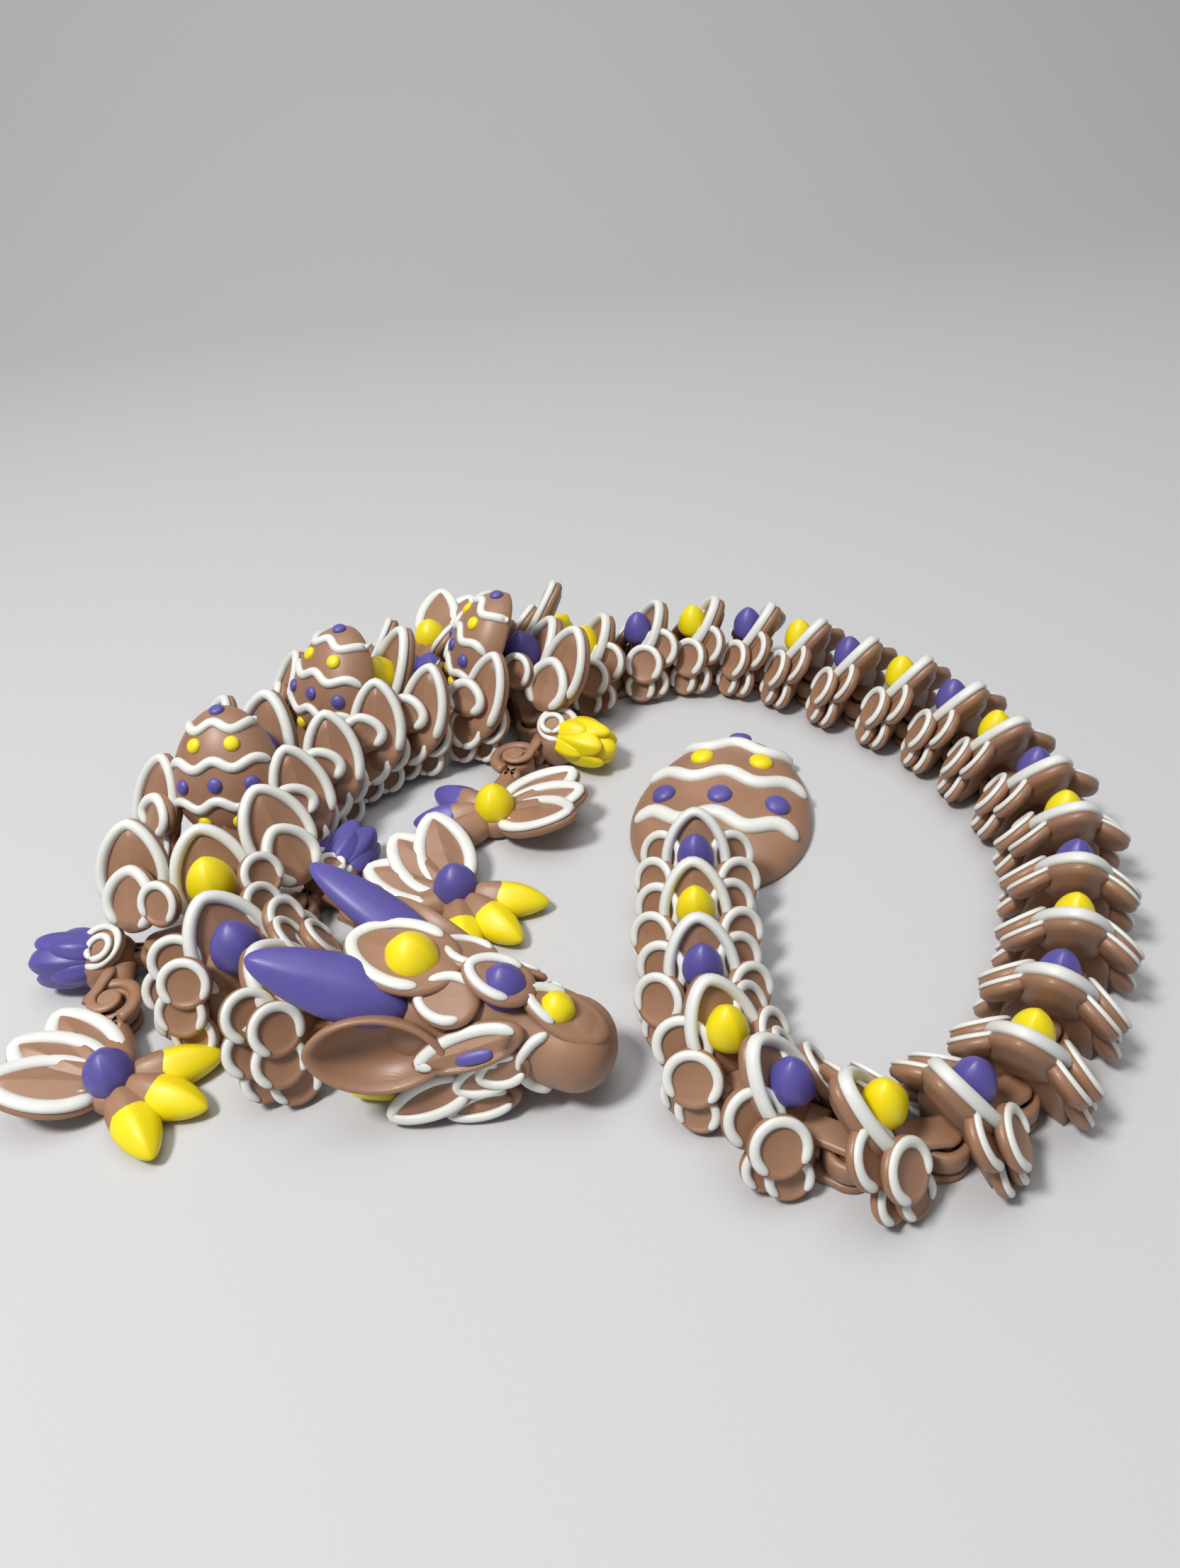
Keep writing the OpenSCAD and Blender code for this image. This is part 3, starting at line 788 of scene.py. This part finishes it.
def add_links(names, scales, word, stone=None, dots=()):
    """One link for each name, all with the same meshes.

    stone is the gem's place, radius and height. dots are rows of word, mesh and material.
    """
    brown, white = scales.brown.mesh(word + "_brown"), scales.white.mesh(word + "_icing")
    for name in names:
        piece(name + "_brown", brown, BROWN, LINK[name], name, name)
        piece(name + "_icing", white, WHITE, LINK[name], name)
        if stone:
            add_gem(name, *stone)
        for suffix, mesh, material in dots:
            piece(name + suffix, mesh, material, LINK[name], name)


def add_tail():
    add_links(TAIL, tail_shapes(), "tail", ((11.8, 0, 18.6), 4.2, 1.65))


def add_neck():
    for name, (gem_z, tip_z, plate_length) in NECKS.items():
        length = pitch(name)
        stone = ((length - GEM_BACK, 0, gem_z), 5.6, 1.4)
        add_links([name], neck_shapes(length, tip_z, plate_length), name, stone)


def add_body():
    """Gem links between the eggs, then the links that carry the limbs."""
    names = ["body_link_1", "body_link_2"]
    x = pitch(names[0]) - GEM_BACK
    scales = body_shapes(pitch(names[0]))
    back_plate(scales, x, 36.0, 32)
    add_links(names, scales, "body", ((x, 0, 23), 5.9, 1.4))
    for name, x_limb, x in (("shoulder_link", 15, 17), ("hip_link", 9.5, 13)):
        stone = ((x - 1.5, 0, 20.0), 5.7, 1.5)
        add_links([name], limb_link_shapes(pitch(name), x_limb, x), name, stone)


def add_egg_links():
    at = leant((21, 0, 27.5), LEAN) @ move(0, 0, -2.4)
    dome, bands, purple, yellow = decorated_egg(Egg(28, 34, 9.2))
    scales = body_shapes(pitch("egg_link_1"))
    scales.brown.add(joined(dome), at)
    scales.white.add(joined(bands), at)
    dots = (
        ("_dots_purple", Shape().add(joined(purple), at).mesh("egg_purple"), PURPLE),
        ("_dots_yellow", Shape().add(joined(yellow), at).mesh("egg_yellow"), YELLOW),
    )
    add_links(EGG_LINKS, scales, "egg", dots=dots)


def add_tail_egg():
    at = move(33, 0, 1.2)
    dome, bands, purple, yellow = decorated_egg(Egg(46, 61, 9.6))
    brown = Shape().add(joined(dome), at).add(clevis(9, 10))
    piece("tail_egg_brown", brown.mesh("tail_egg_brown"), BROWN, LINK["tail_egg"], "tail_egg", "tail_egg")
    for shape, material, word in (
        (bands, WHITE, "icing"), (purple, PURPLE, "dots_purple"), (yellow, YELLOW, "dots_yellow"),
    ):
        mesh = Shape().add(joined(shape), at).mesh("tail_egg_" + word)
        piece("tail_egg_" + word, mesh, material, LINK["tail_egg"], "tail_egg")


add_tail()
add_neck()
add_body()
add_egg_links()
add_tail_egg()

# ---------------------------------------------------------------- legs

# Pin of the foot in the limb's frame, then the gem's distance from it and the spread of the toes
WRIST = (5.5, 17.0)
GEM_X = 21.5
TOE_ANGLES = (-36, 0, 36)


def spindle(length, r, flat, power, skew=0.0, ridge=0.0, n=28, steps=18):
    """Pointed petal, toe or horn along +X from the origin, with an optional ridge on top."""
    a = np.linspace(0, 2 * math.pi, n, endpoint=False)
    crest = 1 + ridge * np.clip(np.sin(a), 0, 1) ** 14
    rings = []
    for t in np.linspace(0.04, math.pi - 0.04, steps):
        radius = r * math.sin(t) ** power * (1 + skew * math.cos(t))
        x = length * (1 - math.cos(t)) / 2
        rings.append(np.c_[np.full(n, x), radius * np.cos(a), radius * crest * flat * np.sin(a)])
    return skin(rings)


def wrist_hook():
    """Wrist of a limb with its arm along +X: a disc, a pin at the origin and a hook that curls over it."""
    shape = Shape()
    shape.add(loft(keyhole(RING_OUT, 9, 3.4), 0.05, JAW_T, 0.7))
    shape.add(round_disc(PIN_R, 0.5, JAW_TOP - 0.5, 0.3))
    neck = [(11, 0.6, 6.6), (8.9, 0.2, 5.6), (7.6, 0, 4.4), (6.9, 0, 3.0), (6.6, 0, 1.6)]
    shape.add(swept(smooth_line(neck, 16), np.linspace(3.2, 1.5, 16), (0, 1, 0), 1.5))
    curl = [(10.2, 0.6, 8.6), (7.8, 0.9, 9.0), (5.6, 1.9, 9.0)]
    angles, radii = np.radians(np.linspace(40, 330, 12)), np.linspace(4.4, 1.2, 12)
    spiral = [(r * math.cos(a), r * math.sin(a), 8.95) for r, a in zip(radii, angles)]
    line = smooth_line(curl + spiral, 60)
    shape.add(swept(line, np.linspace(1.5, 0.95, 60), (0, 0, 1), 0.65))
    return joined(shape)


def limb_shapes():
    """Upper limb on the right: ring at the origin, bud along +X, wrist pin at WRIST."""
    scales = Scales()
    scales.brown.add(ring(8.5))
    scales.brown.add(wrist_hook(), move(WRIST[0], WRIST[1], 0) @ turn("Z", -75))
    outline = (
        (6.8, -1.8), (11, -3.4), (15.6, -2.2), (17.6, 3), (16.2, 8),
        (12.4, 10.4), (8.6, 9.4), (6.6, 6), (5.9, 2),
    )
    scales.brown.add(pebble(outline, 0.3, 11.6, 4.2))
    scales.disc((11.6, 3.4, 10.9), 6.0, 22, -120, 2.4, 1.9, (-180, 180), False)
    scales.disc((10.8, 5.0, 12.2), 3.7, 22, -120, 2.2, 1.7, (-180, 180), False)
    return scales


def bud_shape():
    """Bud of pointed petals at the elbow or knee."""
    shape = Shape()
    shape.add(spindle(17.6, 4.2, 1, 1.0), move(12.6, 3.5, 8))
    inner = spindle(15.5, 4.3, 0.6, 1.05, 0.12, 0.3, 30)
    outer = spindle(10.5, 3.3, 0.62, 1.05, 0.12, 0.3, 30)
    for petal, x, first, out, splay in ((inner, 12.6, 18, 2.7, 7), (outer, 12.4, 54, 3.6, 12)):
        for k in range(5):
            round_axis = move(x, 3.5, 8) @ turn("X", 72 * k + first)
            shape.add(petal, round_axis @ move(0, 0, out) @ turn("Y", -splay))
    return shape


def foot_shapes(toe_turn):
    """Foot on the right: ring at the origin, gem along +X, toes at toe_turn and petals behind."""
    scales = Scales()
    scales.brown.add(ring(8.5))
    arm = [(5.2, 0, 4.9), (8, 0.4, 4.7), (11.5, 0.9, 4.4), (15, 0.7, 4.2), (19, 0, 3.9)]
    scales.brown.add(swept(smooth_line(arm, 16), np.linspace(2.9, 4.4, 16), (0, 0, 1), 0.86))
    curl = [(5.6 * math.cos(a), 5.6 * math.sin(a), 7.2 + 0.5 * a / 4) for a in np.linspace(0.35, 4.4, 28)]
    scales.brown.add(swept(curl, 1.75 * np.linspace(1, 0.35, 28) ** 0.5, (0, 0, 1), 0.8))
    at_gem = move(GEM_X, 0, 0)
    scales.brown.add(round_disc(6.2, 0.15, 6.2, 2.4), at_gem)
    for a in TOE_ANGLES:
        place = at_gem @ turn("Z", toe_turn + a) @ move(1.5, 0, 3.9) @ turn("Y", 2)
        scales.brown.add(spindle(16.5, 4.8, 0.9, 0.75, 0.0, 0.2), place)
    for k in (-1, 0, 1):
        place = at_gem @ turn("Z", toe_turn + 180 + 27 * k) @ leant((25, 0, 9.8 + 1.8 * k), 15 + 5 * k)
        scales.leaf(Leaf(25.5, 15.5, 1.15, 0.12), place, 2.8, 3.4, pair=False, ridge=1.6, dish=0.3,
                    reach=(-150, 150), inset=0.1, bulge=1.6, height=1.2)
    return scales


def toe_shape(toe_turn):
    """Coloured ends of the toes; each starts on a slant behind the brown knuckle."""
    shape = Shape()
    for a in TOE_ANGLES:
        place = move(GEM_X, 0, 0) @ turn("Z", toe_turn + a) @ move(3, 0, 3.9) @ turn("Y", 2)
        verts, faces = spindle(19.6, 4.9, 0.85, 1.25, 0.16, 0.2, 28, 34)
        start = 7.4 + 0.42 * np.abs(verts[:, 1]) - 0.35 * verts[:, 2]
        verts[:, 0] = np.maximum(verts[:, 0], start)
        shape.add((verts, faces), place)
    return shape


# Names of a leg's nodes and its link, the turn of its toes, and the colours of bud, gem and toes
LEGS = (
    ("arm", "elbow_bud", "fore_foot", "wrist_gem", "fore_toes", "shoulder_link", 54, PURPLE, PURPLE, YELLOW),
    ("thigh", "knee_bud", "hind_foot", "ankle_gem", "hind_toes", "hip_link", 79, YELLOW, YELLOW, PURPLE),
)


def add_scales(name, scales, at, left):
    """Brown and icing of a limb or a foot; the brown stands for its CAD node."""
    piece(name + "_brown", scales.brown.mesh(name + "_brown", left), BROWN, at, name, name)
    piece(name + "_icing", scales.white.mesh(name + "_icing", left), WHITE, at, name)


def add_leg(leg, side, limb, bud):
    """Limb and foot on one side: side is "right" or "left"."""
    limb_name, bud_name, foot_name, gem_name, toes_name = (word + "_" + side for word in leg[:5])
    link, toe_turn, bud_paint, gem_paint, toe_paint = leg[5:]
    left = side == "left"
    root, wrist = pin_between(link, limb_name), pin_between(limb_name, foot_name)
    swing = math.atan2(WRIST[1], WRIST[0]) * (1 if left else -1)
    at_limb = frame_at(root, wrist) @ Matrix.Rotation(swing, 4, "Z")
    at_foot = frame_at(wrist, box_middle(gem_name))
    add_scales(limb_name, limb, at_limb, left)
    piece(bud_name + "_petals", bud.mesh(bud_name, left), bud_paint, at_limb, limb_name, bud_name)
    add_scales(foot_name, foot_shapes(toe_turn), at_foot, left)
    toes = toe_shape(toe_turn).mesh(toes_name, left)
    piece(toes_name + "_tips", toes, toe_paint, at_foot, foot_name, toes_name)
    stone = Shape().add(gem(5.2, 1.3), move(GEM_X, 0, 7.6)).mesh(gem_name, left)
    piece(gem_name + "_stone", stone, gem_paint, at_foot, foot_name, gem_name)


def add_legs():
    limb, bud = limb_shapes(), bud_shape()
    for leg in LEGS:
        for side in ("right", "left"):
            add_leg(leg, side, limb, bud)


add_legs()

# ---------------------------------------------------------------- head

# Skull stations along -X: distance from the neck pin, half width, top and bottom
SKULL = smooth_line((
    (3.5, 6.0, 22.5, 5.0), (5.0, 9.0, 25.5, 1.8), (9.0, 11.6, 27.8, 0.5), (14.0, 12.6, 28.4, 0.3),
    (20.0, 12.2, 28.0, 0.3), (26.0, 11.0, 27.2, 0.6), (32.0, 9.8, 25.6, 1.4), (38.0, 9.0, 23.4, 3.2),
    (43.0, 9.2, 21.8, 3.8), (48.0, 9.4, 20.6, 3.8), (51.5, 8.0, 18.6, 5.0), (53.8, 5.4, 16.0, 6.8),
    (54.8, 2.4, 13.4, 9.0),
), 48)
SIDE_POWER, TOP_POWER = 0.9, 0.85


def skull_ring(u, half, top, low):
    """Outline of the skull at a station, with the groove of the mouth."""
    n = 48
    a = np.linspace(0, 2 * math.pi, n, endpoint=False)
    y = half * np.sign(np.cos(a)) * np.abs(np.cos(a)) ** SIDE_POWER
    z = (top + low) / 2 + (top - low) / 2 * np.sign(np.sin(a)) * np.abs(np.sin(a)) ** TOP_POWER
    mouth = 0.7 * np.exp(-((z - 5.6) / 0.7) ** 2) * min(1, max(0, (u - 26) / 8))
    return np.c_[np.full(n, -u), y - np.sign(y) * mouth, z]


def on_skull(u, z):
    """Point on the right side of the skull at a station and a height."""
    half, top, low = (np.interp(u, SKULL[:, 0], SKULL[:, k]) for k in (1, 2, 3))
    s = min(abs(z - (top + low) / 2) / ((top - low) / 2), 0.999) ** (1 / TOP_POWER)
    return np.array([-u, half * math.sqrt(1 - s * s) ** SIDE_POWER, z])


def skull_bead(points, width, height):
    """Bead of icing on the right side of the skull through (station, height) points."""
    flat = smooth_line(points, 40)
    line = [on_skull(u, z) for u, z in flat]
    e = 0.3
    ups = []
    for u, z in flat:
        du = on_skull(u + e, z) - on_skull(u - e, z)
        dz = on_skull(u, z + e) - on_skull(u, z - e)
        normal = np.cross(du, dz)
        ups.append(normal / np.linalg.norm(normal))
    ups = [v if v[1] > 0 else -v for v in ups]
    return bead(line, ups, width, height)


def plate_frame(tip, base, up):
    """Frame at the tip, +X running on from the base and +Z near up, and the length from base to tip."""
    tip, base = np.array(tip, float), np.array(base, float)
    x = tip - base
    length = np.linalg.norm(x)
    x /= length
    y = np.cross(np.array(up, float), x)
    y /= np.linalg.norm(y)
    m = np.eye(4)
    m[:3, :3] = np.c_[x, y, np.cross(x, y)]
    m[:3, 3] = tip
    return m, length


def ear():
    """Cupped leaf with a rolled rim, open on its +Z side, with its tip at the origin."""
    leaf = Leaf(28, 17, 1.25, -0.05)
    n = 48
    a = np.linspace(-math.pi, math.pi, n, endpoint=False)
    rim = leaf.at(a)
    profile = (
        (0.25, -5.2), (0.5, -4.9), (0.72, -3.9), (0.88, -2.1), (0.97, -0.3), (1.0, 0.9), (0.99, 1.7),
        (0.93, 2.0), (0.86, 1.4), (0.80, 0.1), (0.70, -1.5), (0.53, -2.9), (0.35, -3.6), (0.15, -3.8),
    )
    verts, faces = skin([np.c_[rim * s, np.full(n, z)] for s, z in profile])
    return verts - (14, 0, 0), faces


# Head plates: tip, base, up, width, icing, reach, ridge, mirrored
HEAD_PLATES = (
    ((-1.0, 0, 33.0), (-25, 0, 28.2), (0.2, 0, 1), 18.5, 2.7, (-122, 122), 0.5, False),
    ((-17.6, 7.6, 27.6), (-30.5, 4.4, 26.2), (0.1, 0.45, 1), 11.5, 2.1, (-140, 120), 0.3, True),
    ((-25.6, 0, 30.6), (-40, 0, 25.2), (0.3, 0, 1), 11.5, 2.2, (-118, 118), 0.3, False),
    ((-36.8, 0, 25.8), (-54, 0, 15.8), (0.2, 0, 1), 11.0, 2.2, (-80, 80), 0.2, False),
    ((-18.4, 14.6, 16.4), (-39.5, 6.8, 22.4), (0.1, 0.86, 0.5), 9.0, 2.5, (-165, 45), 0.8, True),
    ((-24.6, 12.4, 8.2), (-37.5, 9.0, 14.4), (0.1, 1, 0.15), 8.6, 1.9, (-140, 140), 0.3, True),
    ((-29.6, 11.4, 11.4), (-40.4, 8.4, 16.4), (0, 1, 0.2), 8.6, 2.0, (-140, 140), 0.3, True),
    ((-11.2, 17.6, 2.2), (-29.5, 10.6, 10.4), (0.1, 1, 0.35), 9.6, 2.3, (-140, 140), 0.6, True),
    ((-22.6, 14.2, 1.6), (-37.5, 8.8, 6.0), (0.1, 1, 0.3), 7.2, 1.9, (-140, 140), 0.4, True),
)


def add_head():
    at = LINK["head"]
    scales = Scales()
    scales.brown.add(skin([skull_ring(*station) for station in SKULL]))
    scales.brown.add(ring(9.5), turn("Z", 180))
    for tip, base, up, width, icing, reach, ridge, pair in HEAD_PLATES:
        place, length = plate_frame(tip, base, up)
        scales.leaf(Leaf(length, width, 1.08, 0.1), place, 2.2, icing, pair, ridge, dish=0.2,
                    reach=reach, inset=0.3, bulge=0.9, height=0.85)
    snout = [(43.6, 20.6), (41.0, 19.6), (38.9, 17.0), (38.2, 14.0), (38.8, 11.0), (40.6, 8.4), (43.4, 6.6)]
    scales.white.pair(skull_bead(snout, 2.2, 1.5))
    place, _ = plate_frame((1.0, 20.4, 22.5), (-25.5, 11.6, 17.8), (0.2, 1, 0.35))
    scales.brown.pair(ear(), place)
    piece("head_brown", scales.brown.mesh("head_brown"), BROWN, at, "head", "head")
    piece("head_icing", scales.white.mesh("head_icing"), WHITE, at, "head")
    horn = spindle(33, 6.4, 0.62, 1.0, 0.22, 0.16, 36, 34)
    horns = Shape().pair(horn, move(-16.5, 7.4, 24.0) @ turn("Z", 12) @ turn("Y", -27) @ turn("X", -32))
    piece("head_horns", horns.mesh("head_horns"), PURPLE, at, "head", "horns")
    yellow = Shape().add(gem(5.5, 1.25), move(-14.8, 0, 29.6)).add(gem(3.5, 1.15), move(-44, 0, 22.0))
    yellow.pair(spindle(11, 2.2, 1, 0.5), move(-12.4, 11.6, 2.9) @ turn("Z", 12) @ turn("Y", -5))
    piece("head_yellow", yellow.mesh("head_yellow"), YELLOW, at, "head", "head_gems_yellow")
    purple = Shape().add(gem(4.7, 1.35), move(-33.6, 0, 25.4))
    place, length = plate_frame((-27.0, 12.6, 17.6), (-34.2, 10.4, 19.4), (0, 0.86, 0.5))
    purple.pair(spindle(length, 1.5, 0.8, 0.6), place @ move(-length, 0, 0.6))
    piece("head_purple", purple.mesh("head_purple"), PURPLE, at, "head", "head_gems_purple")


add_head()

# ---------------------------------------------------------------- stage, light and camera


def floor_material():
    material, tree, shader = node_tree("pale_floor", 0.75, 0.0)
    coords = tree.nodes.new("ShaderNodeTexCoord").outputs["Object"]
    noise = tree.nodes.new("ShaderNodeTexNoise")
    noise.inputs["Scale"].default_value = 700.0
    tree.links.new(coords, noise.inputs["Vector"])
    bump = tree.nodes.new("ShaderNodeBump")
    bump.inputs["Strength"].default_value = 0.25
    bump.inputs["Distance"].default_value = 0.0002
    tree.links.new(noise.outputs["Fac"], bump.inputs["Height"])
    tree.links.new(bump.outputs["Normal"], shader.inputs["Normal"])
    shader.inputs["Base Color"].default_value = (0.52, 0.52, 0.53, 1)
    return material


def sweep_floor():
    """Floor that curves up into a backdrop far behind the toy."""
    profile = [(-2.5, 0), (0.55, 0)]
    for a in np.linspace(0, 90, 13)[1:]:
        b = math.radians(a)
        profile.append((0.55 + 0.5 * math.sin(b), 0.5 * (1 - math.cos(b))))
    profile.append((1.05, 3.0))
    verts = [(x, y, z - 0.00005) for y, z in profile for x in (-3, 3)]
    faces = [(2 * k, 2 * k + 1, 2 * k + 3, 2 * k + 2) for k in range(len(profile) - 1)]
    mesh = bpy.data.meshes.new("floor")
    mesh.from_pydata(verts, [], faces)
    mesh.polygons.foreach_set("use_smooth", [True] * len(mesh.polygons))
    mesh.materials.append(floor_material())
    obj = bpy.data.objects.new("floor", mesh)
    SCENE.collection.objects.link(obj)


def area_light(name, place, target, size, power, colour=(1, 1, 1)):
    data = bpy.data.lights.new(name, "AREA")
    data.size = size
    data.energy = power
    data.color = colour
    obj = bpy.data.objects.new(name, data)
    obj.location = place
    obj.rotation_euler = (Vector(target) - Vector(place)).to_track_quat("-Z", "Y").to_euler()
    SCENE.collection.objects.link(obj)


def add_world():
    """Dim, slightly blue light from all round."""
    world = bpy.data.worlds.new("world")
    world.use_nodes = True
    background = world.node_tree.nodes["Background"]
    background.inputs["Color"].default_value = (0.80, 0.82, 0.86, 1)
    background.inputs["Strength"].default_value = 0.30
    SCENE.world = world


# Camera: place, tilt down and roll in the part's frame
CAMERA_AT = (0.007375, -0.22433, 0.18507)
CAMERA_DOWN = math.radians(37.24)
CAMERA_ROLL = math.radians(-6.73)


def add_camera():
    data = bpy.data.cameras.new("camera")
    data.sensor_fit = "HORIZONTAL"
    data.sensor_width = 36.0
    data.lens = 33.5
    data.clip_start = 0.01
    camera = bpy.data.objects.new("camera", data)
    tilt = Matrix.Rotation(math.pi / 2 - CAMERA_DOWN, 4, "X")
    camera.matrix_world = Matrix.Translation(CAMERA_AT) @ tilt @ Matrix.Rotation(CAMERA_ROLL, 4, "Z")
    SCENE.collection.objects.link(camera)
    SCENE.camera = camera


sweep_floor()
area_light("key", (-0.42, -0.30, 0.95), (0, 0, 0), 0.20, 10.0, (1.0, 0.985, 0.96))
area_light("top", (0.1, 0.1, 1.3), (0, 0, 0), 1.0, 6.5)
add_world()
add_camera()
SCENE.view_settings.view_transform = "Standard"
